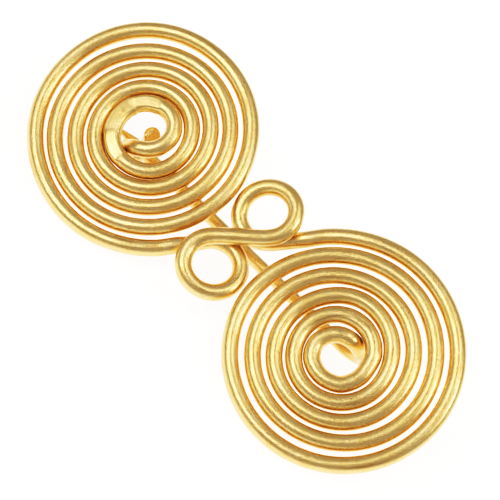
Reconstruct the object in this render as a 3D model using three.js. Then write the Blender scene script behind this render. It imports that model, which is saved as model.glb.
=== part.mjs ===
import * as THREE from 'three';

// Spectacle fibula bent from one length of round brass wire. Millimetres, +Z up.
// The wire is laid out in the flat of the two spiral discs (z is height over that flat,
// the pin and catch hang below it), then the finished wire is turned into the attitude
// it takes when it lies loose on its back.

const wireRadius = 1.335;       // across the corners of the facets, for round wire of 2.64
const pinRadius = 1.06;         // the pin is drawn down a little from the wire
const pointRadius = 0.14;
const pointLength = 3.7;        // sharpened end of the pin
const discSpacing = 45.86;      // between the centres of the two spirals
const skew = 50.3;              // degrees from the long axis to the band of the eight
const sides = 10;               // facets round the wire
const ringTurn = 13;            // degrees the wire may turn between rings
const ringReach = 3.1;          // longest step between rings

const leanDeg = 24.68;          // roll about the long axis when lying loose
const pitchDeg = 1.11;          // and the small drop of one end

// radius = start - pitch * turns + easing * turns^2, counted inward from the outer end;
// bends are the small faults of hand winding: where (in turns), over how long, how far out
const discA = {
  centre: new THREE.Vector2(-discSpacing / 2, 0),
  start: 18.83, pitch: 3.427, easing: 0.069, outerDeg: 335.3, turns: 4.76,
  oval: 0.11, ovalDeg: 113, loose: 0.14, looseTurns: 4.6, sink: 0.4, lift: 0.4,
  bends: [
    [0.05, 0.1, -0.15], [0.22, 0.1, -0.42], [0.54, 0.1, 0.32], [1.2, 0.07, -0.1],
    [2.37, 0.11, -0.12], [2.67, 0.09, 0.12], [3.38, 0.1, -0.1], [3.68, 0.1, 0.12],
    [4.02, 0.14, 0.22], [4.22, 0.11, 0.12], [4.68, 0.07, 0.14],
  ],
};
const discB = {
  centre: new THREE.Vector2(discSpacing / 2, 0),
  start: 18.88, pitch: 3.385, easing: 0.038, outerDeg: 155.3, turns: 4.3,
  oval: 0.04, ovalDeg: 20, loose: 0.3, looseTurns: 4.1, sink: 0.62, lift: 0,
  bends: [
    [0.08, 0.05, -0.2], [0.45, 0.14, -0.1], [0.87, 0.1, 0.32], [1.18, 0.08, 0.18],
    [1.58, 0.11, -0.14], [1.95, 0.17, 0.13], [2.38, 0.11, -0.17], [2.71, 0.08, 0.08],
    [3.1, 0.08, 0.3], [3.34, 0.09, -0.22], [3.66, 0.16, 0.29],
  ],
};
const spiralStep = 10;          // degrees between laid-out points of a spiral
const leadTurns = 0.1;          // outermost part of a spiral that sinks under the band
const looseSpread = 0.25;       // turns over which the innermost turn stands a little loose
const liftFrom = 3.9;           // turns between which the innermost turn climbs on the next
const liftTo = 4.3;

// the figure of eight between the discs
const eightCentre = new THREE.Vector2(-0.405, 0.003);
const loopReach = 4.365;         // loops are a shade wider than tall
const loopTall = 4.28;
const loopAcross = 4.255;
const loopAlong = 4.16;
const bandHeight = 1.38;        // band passes this far over the flat, strands this far under
const loopStep = 24;

// the pin, from its root behind disc B to its point behind disc A
const pinRoot = new THREE.Vector3(21.3, 3.07, -9.4);
const pinRest = new THREE.Vector3(-23.6, -1.65, -5.05);
const rootBend = 3.4;           // radius of the springy bend into the pin
const pinOverhang = 4.75;       // point stands this far past the catch
const pinSteps = 16;
const drawnFrom = 22.4;         // x between which the wire is drawn down to the pin
const drawnTo = 2.4;
const pinBelow = -3.5;          // the pin is all of the wire's second half below this z

// the catch: a U that hangs under the pin
const catchHalf = 2.56;
const catchX = pinRest.x;
const catchTop = -3.1;          // cut end of the wire
const catchFlare = 0.1;         // the cut end stands a little open
const catchStep = 22.5;
const bendStep = 18;

const rad = THREE.MathUtils.degToRad;
const smooth = (lo, hi, v) => THREE.MathUtils.smoothstep(v, lo, hi);

// a point given across and along the band direction, from any centre
function skewed(centre, across, along, height) {
  const turn = rad(skew);
  return new THREE.Vector3(
    centre.x + across * Math.cos(turn) + along * Math.sin(turn),
    centre.y + across * Math.sin(turn) - along * Math.cos(turn),
    height,
  );
}

// spiral points from the outer end inward
function spiral(disc) {
  const points = [];
  const count = Math.round(disc.turns * 360 / spiralStep);
  for (let i = 0; i <= count; i += 1) {
    const turns = i * spiralStep / 360;
    const angle = rad(disc.outerDeg - 360 * turns);
    const swell = disc.oval * Math.cos(2 * (angle - rad(disc.ovalDeg))) * (1 - turns / 6);
    const slack = disc.loose * Math.exp(-(((turns - disc.looseTurns) / looseSpread) ** 2));
    const bent = disc.bends.reduce(
      (sum, [at, spread, out]) => sum + out * Math.exp(-(((turns - at) / spread) ** 2)), 0);
    const even = disc.start - disc.pitch * turns + disc.easing * turns * turns;
    const radius = even + swell + slack + bent;
    const height = disc.lift * smooth(liftFrom, liftTo, turns)
      - disc.sink * bandHeight * (1 - smooth(0, leadTurns, turns));
    points.push(new THREE.Vector3(
      disc.centre.x + radius * Math.cos(angle),
      disc.centre.y + radius * Math.sin(angle),
      height,
    ));
  }
  return points;
}

// one loop of the eight: side -1 hangs toward disc B's rim, side 1 toward disc A's
function loop(side) {
  const points = [];
  for (let a = loopStep; a <= 360 - loopStep; a += loopStep) {
    const turn = rad(a);
    const rise = side < 0
      ? THREE.MathUtils.lerp(-bandHeight, bandHeight, smooth(70, 285, a))
      : THREE.MathUtils.lerp(bandHeight, -bandHeight, smooth(75, 290, a));
    points.push(skewed(
      eightCentre,
      side * loopAcross + loopReach * Math.sin(turn),
      -side * loopAlong + side * loopTall * Math.cos(turn),
      rise,
    ));
  }
  return points;
}

function layOut() {
  const pinWay = pinRest.clone().sub(pinRoot).normalize();
  const hook = [
    new THREE.Vector3(catchX + 0.35, pinRest.y + catchHalf + catchFlare, catchTop),
    new THREE.Vector3(catchX + 0.15, pinRest.y + catchHalf + catchFlare / 2, catchTop - 1),
  ];
  for (let a = 0; a <= 180; a += catchStep) {
    hook.push(new THREE.Vector3(
      catchX,
      pinRest.y + catchHalf * Math.cos(rad(a)),
      pinRest.z - catchHalf * Math.sin(rad(a)),
    ));
  }
  // up beside the pin and over into the middle of disc A
  const innerA = [
    skewed(discA.centre, -3.64, 1.9, -3.5),
    skewed(discA.centre, -3.4, 1.62, -2.15),
    skewed(discA.centre, -2.5, 2.12, -0.72),
    skewed(discA.centre, -1.5, 2.55, 0.1),
    skewed(discA.centre, 0.09, 2.87, 0.32),
    skewed(discA.centre, 1.69, 2.57, discA.lift),
    skewed(discA.centre, 3.02, 1.72, discA.lift),
    skewed(discA.centre, 3.85, 0.51, discA.lift),
  ];
  const leadIn = [
    skewed(eightCentre, -7.9, 0.42, -0.9 * bandHeight),
    skewed(eightCentre, -5.7, -0.13, -bandHeight),
    skewed(eightCentre, -4.1, -0.28, -bandHeight),
  ];
  const band = [
    skewed(eightCentre, -4.28, -0.15, bandHeight),
    skewed(eightCentre, -1.4, -0.1, bandHeight),
    skewed(eightCentre, 1.4, 0.1, bandHeight),
    skewed(eightCentre, 4.28, 0.15, bandHeight),
  ];
  const leadOut = [
    skewed(eightCentre, 4.28, 0.05, -bandHeight),
    skewed(eightCentre, 5.9, 0.0, -bandHeight),
    skewed(eightCentre, 7.9, -0.18, -0.95 * bandHeight),
  ];
  // the last turn of disc B, then down behind the disc to the pin
  const innerB = [
    skewed(discB.centre, 4.47, 1.87, 0),
    skewed(discB.centre, 2.94, 3.77, 0),
    skewed(discB.centre, 0.1, 4.75, 0),
    skewed(discB.centre, -2.77, 3.46, 0),
    skewed(discB.centre, -4.1, 0.77, 0),
    skewed(discB.centre, -3.42, -1.63, 0),
    skewed(discB.centre, -1.55, -2.82, 0),
    skewed(discB.centre, 0.3, -2.9, 0),
    skewed(discB.centre, 1.72, -2.32, -0.3),
    skewed(discB.centre, 2.8, -1.72, -1.55),
    skewed(discB.centre, 3.55, -1.2, -3.3),
  ];
  const root = skewed(discB.centre, 3.99, -0.85, pinRoot.z + rootBend);
  const bend = [];
  for (let a = 0; a < 90; a += bendStep) {
    const share = 1 - Math.cos(rad(a));
    bend.push(new THREE.Vector3(
      THREE.MathUtils.lerp(root.x, pinRoot.x, share),
      THREE.MathUtils.lerp(root.y, pinRoot.y, share),
      root.z - rootBend * Math.sin(rad(a)),
    ));
  }
  const pinTip = pinRest.clone().addScaledVector(pinWay, pinOverhang);
  const pin = [];
  for (let i = 0; i <= pinSteps; i += 1) pin.push(pinRoot.clone().lerp(pinTip, i / pinSteps));
  return [
    ...hook, ...innerA, ...spiral(discA).reverse(), ...leadIn, ...loop(-1), ...band, ...loop(1),
    ...leadOut, ...spiral(discB), ...innerB, ...bend, ...pin,
  ];
}

// the laid-out wire, stepped so that rings fall closer together where it bends
class Wire extends THREE.Curve {
  constructor(points) {
    super();
    const fine = new THREE.CatmullRomCurve3(points, false, 'centripetal');
    const samples = fine.getPoints(points.length * 24);
    const worth = [0];
    for (let i = 1; i < samples.length; i += 1) {
      const step = samples[i].distanceTo(samples[i - 1]);
      const before = samples[i].clone().sub(samples[i - 1]);
      const after = (samples[i + 1] || samples[i]).clone().sub(samples[i]);
      const bend = after.lengthSq() > 0 ? before.angleTo(after) : 0;
      worth.push(worth[i - 1] + Math.max(step / ringReach, bend / rad(ringTurn)));
    }
    this.rings = Math.ceil(worth[worth.length - 1]);
    this.centres = [];
    let at = 0;
    for (let r = 0; r <= this.rings; r += 1) {
      const goal = worth[worth.length - 1] * r / this.rings;
      while (at < worth.length - 2 && worth[at + 1] < goal) at += 1;
      const share = (goal - worth[at]) / Math.max(worth[at + 1] - worth[at], 1e-9);
      this.centres.push(samples[at].clone().lerp(samples[at + 1], Math.min(share, 1)));
    }
  }

  getPoint(t, target = new THREE.Vector3()) {
    const at = Math.min(Math.floor(t * this.rings), this.rings - 1);
    return target.lerpVectors(this.centres[at], this.centres[at + 1], t * this.rings - at);
  }

  getPointAt(u, target) { return this.getPoint(u, target); }

  getTangentAt(u, target = new THREE.Vector3()) {
    const at = Math.round(u * this.rings);
    const before = this.centres[Math.max(at - 1, 0)];
    const after = this.centres[Math.min(at + 1, this.rings)];
    return target.subVectors(after, before).normalize();
  }
}

const wire = new Wire(layOut());

const section = new THREE.Shape();
for (let i = 0; i < sides; i += 1) {
  const angle = 2 * Math.PI * i / sides;
  const x = wireRadius * Math.cos(angle);
  const y = wireRadius * Math.sin(angle);
  if (i === 0) section.moveTo(x, y); else section.lineTo(x, y);
}
section.closePath();
const geometry = new THREE.ExtrudeGeometry(section, {
  steps: wire.rings, extrudePath: wire, curveSegments: 1, bevelEnabled: false,
});

// draw the wire down along the pin and sharpen its end
const tip = wire.centres[wire.rings];
const place = geometry.getAttribute('position');
const spot = new THREE.Vector3();
const spots = new Map();
wire.centres.forEach((centre, r) => {
  const left = centre.distanceTo(tip);
  const onPin = centre.z < pinBelow && r > wire.rings / 2;
  if (!onPin) return;
  const drawn = THREE.MathUtils.lerp(pinRadius, wireRadius, smooth(drawnTo, drawnFrom, centre.x));
  const sharp = pointRadius + (pinRadius - pointRadius) * Math.min(left / pointLength, 1);
  spots.set(r, Math.min(drawn, sharp) / wireRadius);
});
for (let i = 0; i < place.count; i += 1) {
  spot.fromBufferAttribute(place, i);
  for (const [r, share] of spots) {
    const centre = wire.centres[r];
    const off = spot.clone().sub(centre);
    if (Math.abs(off.length() - wireRadius) > 1e-4) continue;
    if (Math.abs(off.dot(wire.getTangentAt(r / wire.rings))) > 1e-4) continue;
    spot.copy(centre).addScaledVector(off, share);
    place.setXYZ(i, spot.x, spot.y, spot.z);
    break;
  }
}

// turn into the lying attitude and stand on z = 0 with the footprint centred
geometry.applyMatrix4(new THREE.Matrix4().makeRotationX(rad(leanDeg)));
geometry.applyMatrix4(new THREE.Matrix4().makeRotationY(rad(pitchDeg)));
geometry.computeBoundingBox();
const box = geometry.boundingBox;
geometry.translate(-(box.min.x + box.max.x) / 2, -(box.min.y + box.max.y) / 2, -box.min.z);
geometry.computeVertexNormals();

const brass = new THREE.MeshStandardMaterial({ color: 0xc9a440, metalness: 1, roughness: 0.35 });
const fibula = new THREE.Mesh(geometry, brass);
fibula.name = 'fibula_wire';

const part = new THREE.Group();
part.name = 'fibula_brooch';
part.add(fibula);
export default part;
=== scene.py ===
import math

import bmesh
import bpy
from mathutils import Matrix, Vector, noise


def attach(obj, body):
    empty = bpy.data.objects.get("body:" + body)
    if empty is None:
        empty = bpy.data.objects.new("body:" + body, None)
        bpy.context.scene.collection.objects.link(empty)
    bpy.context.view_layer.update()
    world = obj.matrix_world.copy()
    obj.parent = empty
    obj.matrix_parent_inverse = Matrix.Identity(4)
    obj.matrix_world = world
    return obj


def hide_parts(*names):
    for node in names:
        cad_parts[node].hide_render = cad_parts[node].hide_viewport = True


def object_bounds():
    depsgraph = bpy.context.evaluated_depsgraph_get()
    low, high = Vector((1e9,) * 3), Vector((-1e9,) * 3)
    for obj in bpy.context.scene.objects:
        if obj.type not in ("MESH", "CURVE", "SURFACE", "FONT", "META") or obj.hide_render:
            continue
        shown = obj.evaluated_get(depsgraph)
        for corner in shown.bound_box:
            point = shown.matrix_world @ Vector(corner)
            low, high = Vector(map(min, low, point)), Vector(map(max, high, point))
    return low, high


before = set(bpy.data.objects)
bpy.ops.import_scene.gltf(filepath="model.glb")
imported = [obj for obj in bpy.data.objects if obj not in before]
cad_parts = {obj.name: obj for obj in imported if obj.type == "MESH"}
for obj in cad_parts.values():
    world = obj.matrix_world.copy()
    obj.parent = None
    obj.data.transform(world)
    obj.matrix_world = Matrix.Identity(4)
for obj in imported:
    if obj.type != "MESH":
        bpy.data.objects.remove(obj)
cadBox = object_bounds()
mm = 0.001

# One brass wire, laid out in mm in the flat of its two spiral discs (z is height over
# that flat), then turned into the attitude in which the brooch lies on its back.

wire = {
    "radius": 1.32, "pinRadius": 1.05, "pointRadius": 0.13, "pointLength": 3.7,
    "drawnFrom": 22.4, "drawnTo": 2.4,  # x between which it is drawn down to the pin
    "drawnLength": 60, "drawnBelow": -3.5,  # only this near its end, and this far down
    "discSpacing": 45.86,  # between the centres of the two spirals
    "skewDeg": 50.3,       # from the long axis to the band of the eight
    "leadTurns": 0.1,      # outermost part of a spiral, sinking under the band
    "ovalTurns": 6,        # turns over which a spiral would lose its oval
    "looseSpread": 0.25,   # turns over which the innermost turn stands a little loose
    "liftFrom": 3.9, "liftTo": 4.3,  # turns between which the innermost turn climbs
    "spiralStep": 10,
}

# radius = start - pitch * turns + easing * turns^2, counted inward from the outer end;
# bends are the small faults of hand winding: where (in turns), over how long, how far out;
# inner is the run between the spiral's inner end and the piece behind the disc, each point
# given across and along the band from the disc's centre, with its height
discA = {
    "centre": Vector((-wire["discSpacing"] / 2, 0, 0)),
    "start": 18.83, "pitch": 3.427, "easing": 0.069, "outerDeg": 335.3, "turns": 4.76,
    "oval": 0.11, "ovalDeg": 113, "loose": 0.14, "looseTurns": 4.6, "sink": 0.4, "lift": 0.4,
    "bends": ((0.05, 0.1, -0.15), (0.22, 0.1, -0.42), (0.54, 0.1, 0.32), (1.2, 0.07, -0.1),
              (2.37, 0.11, -0.12), (2.67, 0.09, 0.12), (3.38, 0.1, -0.1), (3.68, 0.1, 0.12),
              (4.02, 0.14, 0.22), (4.22, 0.11, 0.12), (4.68, 0.07, 0.14)),
    "inner": ((-3.64, 1.9, -3.5), (-3.4, 1.62, -2.15), (-2.5, 2.12, -0.72), (-1.5, 2.55, 0.1),
              (0.09, 2.87, 0.32), (1.69, 2.57, 0.4), (3.02, 1.72, 0.4), (3.85, 0.51, 0.4)),
}
discB = {
    "centre": Vector((wire["discSpacing"] / 2, 0, 0)),
    "start": 18.88, "pitch": 3.385, "easing": 0.038, "outerDeg": 155.3, "turns": 4.3,
    "oval": 0.04, "ovalDeg": 20, "loose": 0.3, "looseTurns": 4.1, "sink": 0.62, "lift": 0,
    "bends": ((0.08, 0.05, -0.2), (0.45, 0.14, -0.1), (0.87, 0.1, 0.32), (1.18, 0.08, 0.18),
              (1.58, 0.11, -0.14), (1.95, 0.17, 0.13), (2.38, 0.11, -0.17),
              (2.71, 0.08, 0.08), (3.1, 0.08, 0.3), (3.34, 0.09, -0.22), (3.66, 0.16, 0.29)),
    "inner": ((4.47, 1.87, 0), (2.94, 3.77, 0), (0.1, 4.75, 0), (-2.77, 3.46, 0),
              (-4.1, 0.77, 0), (-3.42, -1.63, 0), (-1.55, -2.82, 0), (0.3, -2.9, 0),
              (1.72, -2.32, -0.3), (2.8, -1.72, -1.55), (3.55, -1.2, -3.3)),
}


def lerp(a, b, share):
    return a + (b - a) * share


def smooth(low, high, value):
    share = min(max((value - low) / (high - low), 0), 1)
    return share * share * (3 - 2 * share)


def bump(value, at, spread):
    return math.exp(-(((value - at) / spread) ** 2))


# a point given across and along the band direction, from any centre
def skewed(centre, across, along, height):
    turn = math.radians(wire["skewDeg"])
    return Vector((
        centre.x + across * math.cos(turn) + along * math.sin(turn),
        centre.y + across * math.sin(turn) - along * math.cos(turn),
        height,
    ))


# the wire passes twice under the band of the eight: height is how far over the flat the
# band lies and how far under it the strands do, and the heights of its runs are shares of it
eight = {
    "centre": Vector((-0.405, 0.003, 0)),
    "reach": 4.365, "tall": 4.28, "across": 4.255, "along": 4.16, "height": 1.38,
    "stepDeg": 24, "riseDeg": (70, 285), "fallDeg": (75, 290),
    "leadIn": ((-7.9, 0.42, -0.9), (-5.7, -0.13, -1), (-4.1, -0.28, -1)),
    "band": ((-4.28, -0.15, 1), (-1.4, -0.1, 1), (1.4, 0.1, 1), (4.28, 0.15, 1)),
    "leadOut": ((4.28, 0.05, -1), (5.9, 0.0, -1), (7.9, -0.18, -0.95)),
}


def spiral(disc):
    points = []
    for i in range(round(disc["turns"] * 360 / wire["spiralStep"]) + 1):
        turns = i * wire["spiralStep"] / 360
        angle = math.radians(disc["outerDeg"] - 360 * turns)
        swell = disc["oval"] * math.cos(2 * (angle - math.radians(disc["ovalDeg"])))
        radius = (disc["start"] - disc["pitch"] * turns + disc["easing"] * turns * turns
                  + swell * (1 - turns / wire["ovalTurns"])
                  + disc["loose"] * bump(turns, disc["looseTurns"], wire["looseSpread"])
                  + sum(out * bump(turns, at, spread) for at, spread, out in disc["bends"]))
        height = (disc["lift"] * smooth(wire["liftFrom"], wire["liftTo"], turns)
                  - disc["sink"] * eight["height"] * (1 - smooth(0, wire["leadTurns"], turns)))
        points.append(disc["centre"] + Vector(
            (radius * math.cos(angle), radius * math.sin(angle), height)))
    return points


# side -1 hangs toward disc B's rim and climbs to the band, side 1 toward disc A's and falls
def loop(side):
    points = []
    high = eight["height"]
    for a in range(eight["stepDeg"], 360, eight["stepDeg"]):
        turn = math.radians(a)
        if side < 0:
            rise = lerp(-high, high, smooth(*eight["riseDeg"], a))
        else:
            rise = lerp(high, -high, smooth(*eight["fallDeg"], a))
        points.append(skewed(
            eight["centre"],
            side * eight["across"] + eight["reach"] * math.sin(turn),
            -side * eight["along"] + side * eight["tall"] * math.cos(turn),
            rise))
    return points


def eightRun(name):
    return [skewed(eight["centre"], across, along, share * eight["height"])
            for across, along, share in eight[name]]


def innerRun(disc):
    return [skewed(disc["centre"], *point) for point in disc["inner"]]


# the pin leaves its bend at root and lies in the catch at rest
pin = {
    "root": Vector((21.3, 3.07, -9.4)), "rest": Vector((-23.6, -1.65, -5.05)),
    "bend": 3.4, "bendFrom": (3.99, -0.85), "bendStepDeg": 18, "bendSteps": 5,
    "overhang": 4.75, "steps": 16,
}


def bendAndShank():
    root = skewed(discB["centre"], *pin["bendFrom"], pin["root"].z + pin["bend"])
    points = []
    for a in range(pin["bendSteps"]):
        turn = math.radians(pin["bendStepDeg"] * a)
        share = 1 - math.cos(turn)
        points.append(Vector((
            lerp(root.x, pin["root"].x, share), lerp(root.y, pin["root"].y, share),
            root.z - pin["bend"] * math.sin(turn))))
    tip = pin["rest"] + (pin["rest"] - pin["root"]).normalized() * pin["overhang"]
    return points + [pin["root"].lerp(tip, i / pin["steps"]) for i in range(pin["steps"] + 1)]


# a hook of this half width round the resting pin; its end stands up beside the pin, each
# point given along the brooch and out from the hook's side, with its height over top
catch = {
    "half": 2.56, "top": -3.1, "stepDeg": 22.5, "steps": 9,
    "end": ((0.35, 0.1, 0), (0.15, 0.05, -1)),
}


def hook():
    x, y, z = pin["rest"]
    half = catch["half"]
    points = [Vector((x + along, y + half + out, catch["top"] + height))
              for along, out, height in catch["end"]]
    for a in range(catch["steps"]):
        turn = math.radians(catch["stepDeg"] * a)
        points.append(Vector((x, y + half * math.cos(turn), z - half * math.sin(turn))))
    return points


sweep = {
    "perSpan": 24, "sides": 44,
    "reach": 0.55, "turnDeg": 3.4,  # longest step between rings and most the wire may turn
    "seam": 1e-4,
}


# centripetal Catmull-Rom through the laid-out points
def throughPoints(points):
    padded = [2 * points[0] - points[1], *points, 2 * points[-1] - points[-2]]
    fine = []
    for i in range(1, len(padded) - 2):
        p0, p1, p2, p3 = padded[i - 1:i + 3]
        d0, d1, d2 = ((b - a).length ** 0.5 for a, b in ((p0, p1), (p1, p2), (p2, p3)))
        m1 = ((p1 - p0) / d0 - (p2 - p0) / (d0 + d1) + (p2 - p1) / d1) * d1
        m2 = ((p2 - p1) / d1 - (p3 - p1) / (d1 + d2) + (p3 - p2) / d2) * d1
        for j in range(sweep["perSpan"]):
            t = j / sweep["perSpan"]
            fine.append(p1 + m1 * t + (3 * (p2 - p1) - 2 * m1 - m2) * t * t
                        + (2 * (p1 - p2) + m1 + m2) * t ** 3)
    fine.append(points[-1].copy())
    return fine


# centres stepped so that rings fall closer together where the wire bends
def stepAlong(fine):
    worth = [0.0]
    for i in range(1, len(fine)):
        before = fine[i] - fine[i - 1]
        bend = 0.0
        if i + 1 < len(fine):
            bend = before.angle(fine[i + 1] - fine[i])
        worth.append(worth[-1] + max(before.length / sweep["reach"],
                                     bend / math.radians(sweep["turnDeg"])))
    count = math.ceil(worth[-1])
    centres, at = [], 0
    for r in range(count + 1):
        goal = worth[-1] * r / count
        while at < len(worth) - 2 and worth[at + 1] < goal:
            at += 1
        share = (goal - worth[at]) / (worth[at + 1] - worth[at])
        centres.append(fine[at].lerp(fine[at + 1], min(share, 1)))
    return centres


# one station per ring: where it is, the way the wire runs, and an untwisted pair across it
def stations(centres):
    made = []
    side = Vector((0, 0, 1))
    length = 0.0
    for i, centre in enumerate(centres):
        before = centres[max(i - 1, 0)]
        after = centres[min(i + 1, len(centres) - 1)]
        way = (after - before).normalized()
        side = (side - way * side.dot(way)).normalized()
        length += (centre - before).length
        made.append({"at": centre, "way": way, "side": side, "cross": way.cross(side),
                     "length": length, "radius": wire["radius"]})
    return made


laidOut = (hook() + innerRun(discA) + spiral(discA)[::-1] + eightRun("leadIn") + loop(-1)
           + eightRun("band") + loop(1) + eightRun("leadOut") + spiral(discB)
           + innerRun(discB) + bendAndShank())
wireRun = stations(stepAlong(throughPoints(laidOut)))
print("path", len(wireRun), "rings")

# drawn down along the pin and filed to a point
for spot in wireRun:
    left = wireRun[-1]["length"] - spot["length"]
    if left < wire["drawnLength"] and spot["at"].z < wire["drawnBelow"]:
        drawn = lerp(wire["pinRadius"], wire["radius"],
                     smooth(wire["drawnTo"], wire["drawnFrom"], spot["at"].x))
        sharp = lerp(wire["pointRadius"], wire["pinRadius"], min(left / wire["pointLength"], 1))
        spot["radius"] = min(drawn, sharp)

# faces left by the hammer and the pliers: the stretch of wire, how far over each leans from
# straight up (to the right along the wire), how deep it is and how much the wire spread
tooled = (
    {"from": 14.0, "to": 15.9, "leanDeg": -16, "depth": 0.2, "wider": 0.02},
    {"from": 28.6, "to": 32.6, "leanDeg": 1, "depth": 0.24, "wider": 0.07},
    {"from": 32.9, "to": 34.6, "leanDeg": 10, "depth": 0.36, "wider": 0.16},
    {"from": 35.2, "to": 38.2, "leanDeg": 13, "depth": 0.4, "wider": 0.14},
    {"from": 38.8, "to": 42.6, "leanDeg": 9, "depth": 0.26, "wider": 0.07},
    {"from": 748.6, "to": 751.6, "leanDeg": -4, "depth": 0.1, "wider": 0.03},
)
toolMark = {"ease": 0.6, "flatness": 0.95}

for spot in wireRun:
    right = spot["way"].cross(Vector((0, 0, 1))).normalized()
    spot["faces"] = []
    for face in tooled:
        share = (smooth(face["from"] - toolMark["ease"], face["from"], spot["length"])
                 - smooth(face["to"], face["to"] + toolMark["ease"], spot["length"]))
        if share > 0:
            lean = math.radians(face["leanDeg"])
            normal = right.cross(spot["way"]) * math.cos(lean) + right * math.sin(lean)
            spot["faces"].append((normal, share, face["depth"], face["wider"]))

# the hook's end was nipped from both sides and shows a ridge
nipped = {"ridge": -0.57, "slope": 0.42}
# the die left the wire a little uneven: by what share, how fast along it and round it
uneven = {"share": 0.008, "along": 0.22, "round": 0.5}


def surfacePoint(spot, angle):
    off = spot["side"] * math.cos(angle) + spot["cross"] * math.sin(angle)
    place = Vector((0, 0, spot["length"] * uneven["along"])) + off * uneven["round"]
    off *= spot["radius"] * (1 + uneven["share"] * noise.noise(place))
    for normal, share, depth, wider in spot["faces"]:
        proud = max(off.dot(normal) - (spot["radius"] - depth), 0)
        across = spot["way"].cross(normal)
        off += (across * off.dot(across) * wider - normal * proud * toolMark["flatness"]) * share
    back = nipped["slope"] * abs(off.x - nipped["ridge"]) - spot["length"]
    return spot["at"] + off + spot["way"] * max(back, 0)


# rings that close a cut end: how much of the radius, how far on along the wire
cutEnd = ((0, 0), (0.35, 0), (0.7, 0), (0.95, 0), (0.99, 0.03))
pointEnd = ((0.6, 0.04), (0, 0.06))


def capRun(spot, rings):
    return [dict(spot, radius=spot["radius"] * share, at=spot["at"] + spot["way"] * reach)
            for share, reach in rings]


# a grid rolled round the run of stations and welded along its seam
def sweepWire(run):
    mesh = bmesh.new()
    bmesh.ops.create_grid(mesh, x_segments=sweep["sides"], y_segments=len(run) - 1, size=1.0)
    space = mesh.verts.layers.float_vector.new("wireSpace")
    mesh.verts.ensure_lookup_table()
    for vert in mesh.verts:
        i, k = divmod(vert.index, sweep["sides"] + 1)
        spot = run[i]
        angle = 2 * math.pi * k / sweep["sides"]
        vert.co = surfacePoint(spot, angle)
        vert[space] = Vector((spot["radius"] * math.cos(angle),
                              spot["radius"] * math.sin(angle), spot["length"]))
    bmesh.ops.remove_doubles(mesh, verts=mesh.verts, dist=sweep["seam"])
    bmesh.ops.recalc_face_normals(mesh, faces=mesh.faces)
    return mesh


mesh = sweepWire(capRun(wireRun[0], cutEnd) + wireRun[1:] + capRun(wireRun[-1], pointEnd))
print("wire", len(mesh.faces), "faces")

# turned into the lying attitude, centred over the footprint on z = 0
lying = {"leanDeg": 24.68, "pitchDeg": 1.11, "shift": Vector((0.01, -0.146, 8.71))}
attitude = (Matrix.Translation(lying["shift"])
            @ Matrix.Rotation(math.radians(lying["pitchDeg"]), 4, "Y")
            @ Matrix.Rotation(math.radians(lying["leanDeg"]), 4, "X"))
bmesh.ops.transform(mesh, matrix=Matrix.Scale(mm, 4) @ attitude, verts=mesh.verts)
for face in mesh.faces:
    face.smooth = True

# round wire stands a hair outside the facets of its solid, so it is eased into their box
boxMargin = 2e-6
for axis in range(3):
    reach = [vert.co[axis] for vert in mesh.verts]
    low, high = min(reach), max(reach)
    allowed = cadBox[1][axis] - cadBox[0][axis] - boxMargin
    ease = min(1, allowed / (high - low))
    centre = (cadBox[0][axis] + cadBox[1][axis]) / 2
    for vert in mesh.verts:
        vert.co[axis] = centre + (vert.co[axis] - (low + high) / 2) * ease

data = bpy.data.meshes.new("fibulaWire")
mesh.to_mesh(data)
mesh.free()
fibulaWire = bpy.data.objects.new("fibulaWire", data)
bpy.context.scene.collection.objects.link(fibulaWire)
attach(fibulaWire, "root")
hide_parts("fibula_wire")


def linear(hexColour):
    parts = [int(hexColour[i:i + 2], 16) / 255 for i in (1, 3, 5)]
    return [p / 12.92 if p <= 0.04045 else ((p + 0.055) / 1.055) ** 2.4 for p in parts] + [1]


def addNode(tree, kind, inputs=None, **settings):
    made = tree.nodes.new(kind)
    for name, value in settings.items():
        setattr(made, name, value)
    for name, value in (inputs or {}).items():
        if isinstance(value, bpy.types.NodeSocket):
            tree.links.new(value, made.inputs[name])
        else:
            made.inputs[name].default_value = value
    return made


def newMaterial(name):
    made = bpy.data.materials.new(name)
    made.use_nodes = True
    tree = made.node_tree
    tree.nodes.clear()
    shader = addNode(tree, "ShaderNodeBsdfPrincipled")
    addNode(tree, "ShaderNodeOutputMaterial", {"Surface": shader.outputs[0]})
    return made, tree, shader


# drawn brass wire, worn satin under a thin lacquer: warm yellow metal whose long highlights
# break up into grains and draw marks, with brown tarnish in small blots
brassLook = {
    "dull": "#F1D18F", "bright": "#F6E0B3", "stain": "#C8964A", "speck": "#A06A20",
    "stained": (0.6, 0.74, 0.5), "specked": (0.62, 0.74, 0.6),  # from, to, and how much
    "satin": (0.21, 0.28), "worn": (0.35, 0.65),
    "markShare": 0.25, "reliefStrength": 0.75, "relief": 0.04 * mm,
    "lacquer": 0.5, "lacquerRoughness": 0.18, "lacquerIor": 1.6,
    "stretch": (1, 1, 0.12),  # marks of drawing run this much longer along the wire
}
brass, tree, shader = newMaterial("drawnBrass")
space = addNode(tree, "ShaderNodeAttribute", attribute_name="wireSpace").outputs["Vector"]
stretch = addNode(tree, "ShaderNodeVectorMath", {0: space, 1: brassLook["stretch"]},
                  operation="MULTIPLY").outputs[0]
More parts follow.
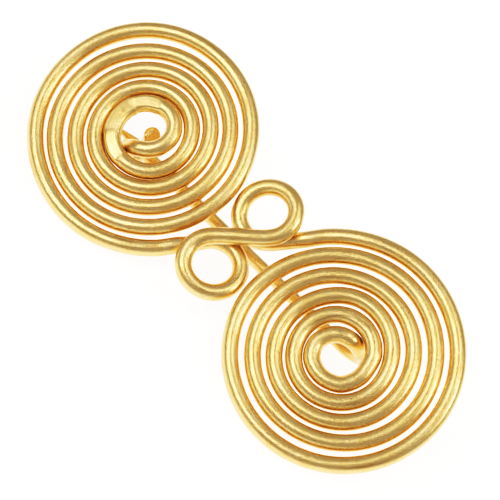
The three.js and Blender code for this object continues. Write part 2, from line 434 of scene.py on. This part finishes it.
# each grain by where it lies, the size of its features in mm and its detail; the real draw
# marks, pits and specks are finer still, and are drawn this coarse so that they show
grains = {
    "clouds": (space, 2.2, 2),
    "blots": (stretch, 0.9, 3),
    "specks": (space, 0.16, 1),
    "wear": (stretch, 0.7, 3),
    "drawMarks": (stretch, 0.28, 2),
    "pits": (space, 0.13, 2),
}
grain = {name: addNode(tree, "ShaderNodeTexNoise", {
    "Vector": where, "Scale": 1 / size, "Detail": detail}).outputs["Fac"]
    for name, (where, size, detail) in grains.items()}
tone = addNode(tree, "ShaderNodeMix", {
    "Factor": grain["clouds"], "A": linear(brassLook["dull"]),
    "B": linear(brassLook["bright"])}, data_type="RGBA")
for name, limits, colour in (("blots", "stained", "stain"), ("specks", "specked", "speck")):
    low, high, most = brassLook[limits]
    amount = addNode(tree, "ShaderNodeMapRange", {
        "Value": grain[name], "From Min": low, "From Max": high, "To Max": most})
    tone = addNode(tree, "ShaderNodeMix", {
        "Factor": amount.outputs[0], "A": tone.outputs["Result"],
        "B": linear(brassLook[colour])}, data_type="RGBA")
tree.links.new(tone.outputs["Result"], shader.inputs["Base Color"])
satin = addNode(tree, "ShaderNodeMapRange", {
    "Value": grain["wear"], "From Min": brassLook["worn"][0], "From Max": brassLook["worn"][1],
    "To Min": brassLook["satin"][0], "To Max": brassLook["satin"][1]})
tree.links.new(satin.outputs[0], shader.inputs["Roughness"])
relief = addNode(tree, "ShaderNodeMath", {
    0: grain["drawMarks"], 1: brassLook["markShare"], 2: grain["pits"]},
    operation="MULTIPLY_ADD")
roughened = addNode(tree, "ShaderNodeBump", {
    "Height": relief.outputs[0], "Strength": brassLook["reliefStrength"],
    "Distance": brassLook["relief"]})
tree.links.new(roughened.outputs[0], shader.inputs["Normal"])
shader.inputs["Metallic"].default_value = 1.0
shader.inputs["Coat Weight"].default_value = brassLook["lacquer"]
shader.inputs["Coat Roughness"].default_value = brassLook["lacquerRoughness"]
shader.inputs["Coat IOR"].default_value = brassLook["lacquerIor"]
data.materials.append(brass)
print("brass")

# plain pale floor of translucent acrylic, softly lit from under it
paleFloor = {"half": 1.2, "shade": "#A0A0A0", "roughness": 0.9, "light": "#FFFFFF",
             "glow": 0.86}
floorMesh = bmesh.new()
bmesh.ops.create_grid(floorMesh, x_segments=1, y_segments=1, size=paleFloor["half"])
floorData = bpy.data.meshes.new("floor")
floorMesh.to_mesh(floorData)
floorMesh.free()
floor = bpy.data.objects.new("floor", floorData)
bpy.context.scene.collection.objects.link(floor)
acrylic, tree, shader = newMaterial("paleFloor")
shader.inputs["Base Color"].default_value = linear(paleFloor["shade"])
shader.inputs["Roughness"].default_value = paleFloor["roughness"]
shader.inputs["Emission Color"].default_value = linear(paleFloor["light"])
shader.inputs["Emission Strength"].default_value = paleFloor["glow"]
floorData.materials.append(acrylic)
print("floor")

# the camera looks down on the flat of the discs, a little from below
shot = {"tiltDeg": -17, "rollDeg": -50.34061, "away": Vector((-1.28409, 1.29344, -290.5)),
        "lens": 136.8, "sensor": 36, "nearest": 0.01, "farthest": 10}
seen = (Matrix.Translation(shot["away"]) @ Matrix.Rotation(math.radians(shot["tiltDeg"]), 4, "X")
        @ Matrix.Rotation(math.radians(shot["rollDeg"]), 4, "Z"))
place = attitude @ seen.inverted()
place.translation *= mm
camera = bpy.data.objects.new("camera", bpy.data.cameras.new("camera"))
camera.matrix_world = place
camera.data.lens = shot["lens"]
camera.data.sensor_width = shot["sensor"]
camera.data.clip_start = shot["nearest"]
camera.data.clip_end = shot["farthest"]
bpy.context.scene.collection.objects.link(camera)
bpy.context.scene.camera = camera
print("camera")

# soft studio lamps, each given by how far it stands off the camera's axis, how far round,
# how wide it looks and how bright its face is
lamps = {
    "key": {"offDeg": 38, "roundDeg": 144, "spreadDeg": 8, "glow": 2.8},
    "keyTop": {"offDeg": 38, "roundDeg": 108, "spreadDeg": 8, "glow": 2.5},
    "near": {"offDeg": 20, "roundDeg": 120, "spreadDeg": 7, "glow": 3.2},
    "top": {"offDeg": 38, "roundDeg": 36, "spreadDeg": 8, "glow": 2.3},
    "right": {"offDeg": 58, "roundDeg": 0, "spreadDeg": 10, "glow": 3.4},
    "rightTop": {"offDeg": 58, "roundDeg": 40, "spreadDeg": 12, "glow": 0.7},
    "far": {"offDeg": 58, "roundDeg": 120, "spreadDeg": 12, "glow": 0.6},
}
# the lamps stand this far from the middle of the brooch, under a plain sky; the tones are the
# camera's contrast, deep shadows and a soft roll into white: each a level and how it shows
studio = {
    "distance": 0.9, "middle": Vector((0, 0, 0.008)), "sky": "#FFFFFF", "skyGlow": 0.48,
    "black": (0, 0), "white": (1.1, 1),
    "tones": ((0.16, 0.055), (0.3, 0.2), (0.45, 0.43), (0.6, 0.64), (0.9, 0.91)),
}
axes = place.to_3x3()
for name, lamp in lamps.items():
    off, around = math.radians(lamp["offDeg"]), math.radians(lamp["roundDeg"])
    way = axes @ Vector((math.sin(off) * math.cos(around), math.sin(off) * math.sin(around),
                         math.cos(off)))
    reach = studio["distance"] * math.tan(math.radians(lamp["spreadDeg"]))
    light = bpy.data.lights.new(name, "AREA")
    light.shape = "DISK"
    light.size = 2 * reach
    light.energy = lamp["glow"] * (math.pi * reach) ** 2
    made = bpy.data.objects.new(name, light)
    made.matrix_world = (Matrix.Translation(studio["middle"] + way * studio["distance"])
                         @ way.to_track_quat("Z", "Y").to_matrix().to_4x4())
    bpy.context.scene.collection.objects.link(made)

world = bpy.data.worlds.new("studio")
world.use_nodes = True
sky = world.node_tree.nodes["Background"]
sky.inputs["Color"].default_value = linear(studio["sky"])
sky.inputs["Strength"].default_value = studio["skyGlow"]
bpy.context.scene.world = world

display = bpy.context.scene.view_settings
display.view_transform = "Standard"
display.use_curve_mapping = True
curves = display.curve_mapping
curves.use_clip = False
toneCurve = curves.curves[3]  # the one that serves red, green and blue alike
toneCurve.points[0].location = studio["black"]
toneCurve.points[1].location = studio["white"]
for level, shown in studio["tones"]:
    toneCurve.points.new(level, shown)
curves.update()
print("studio")
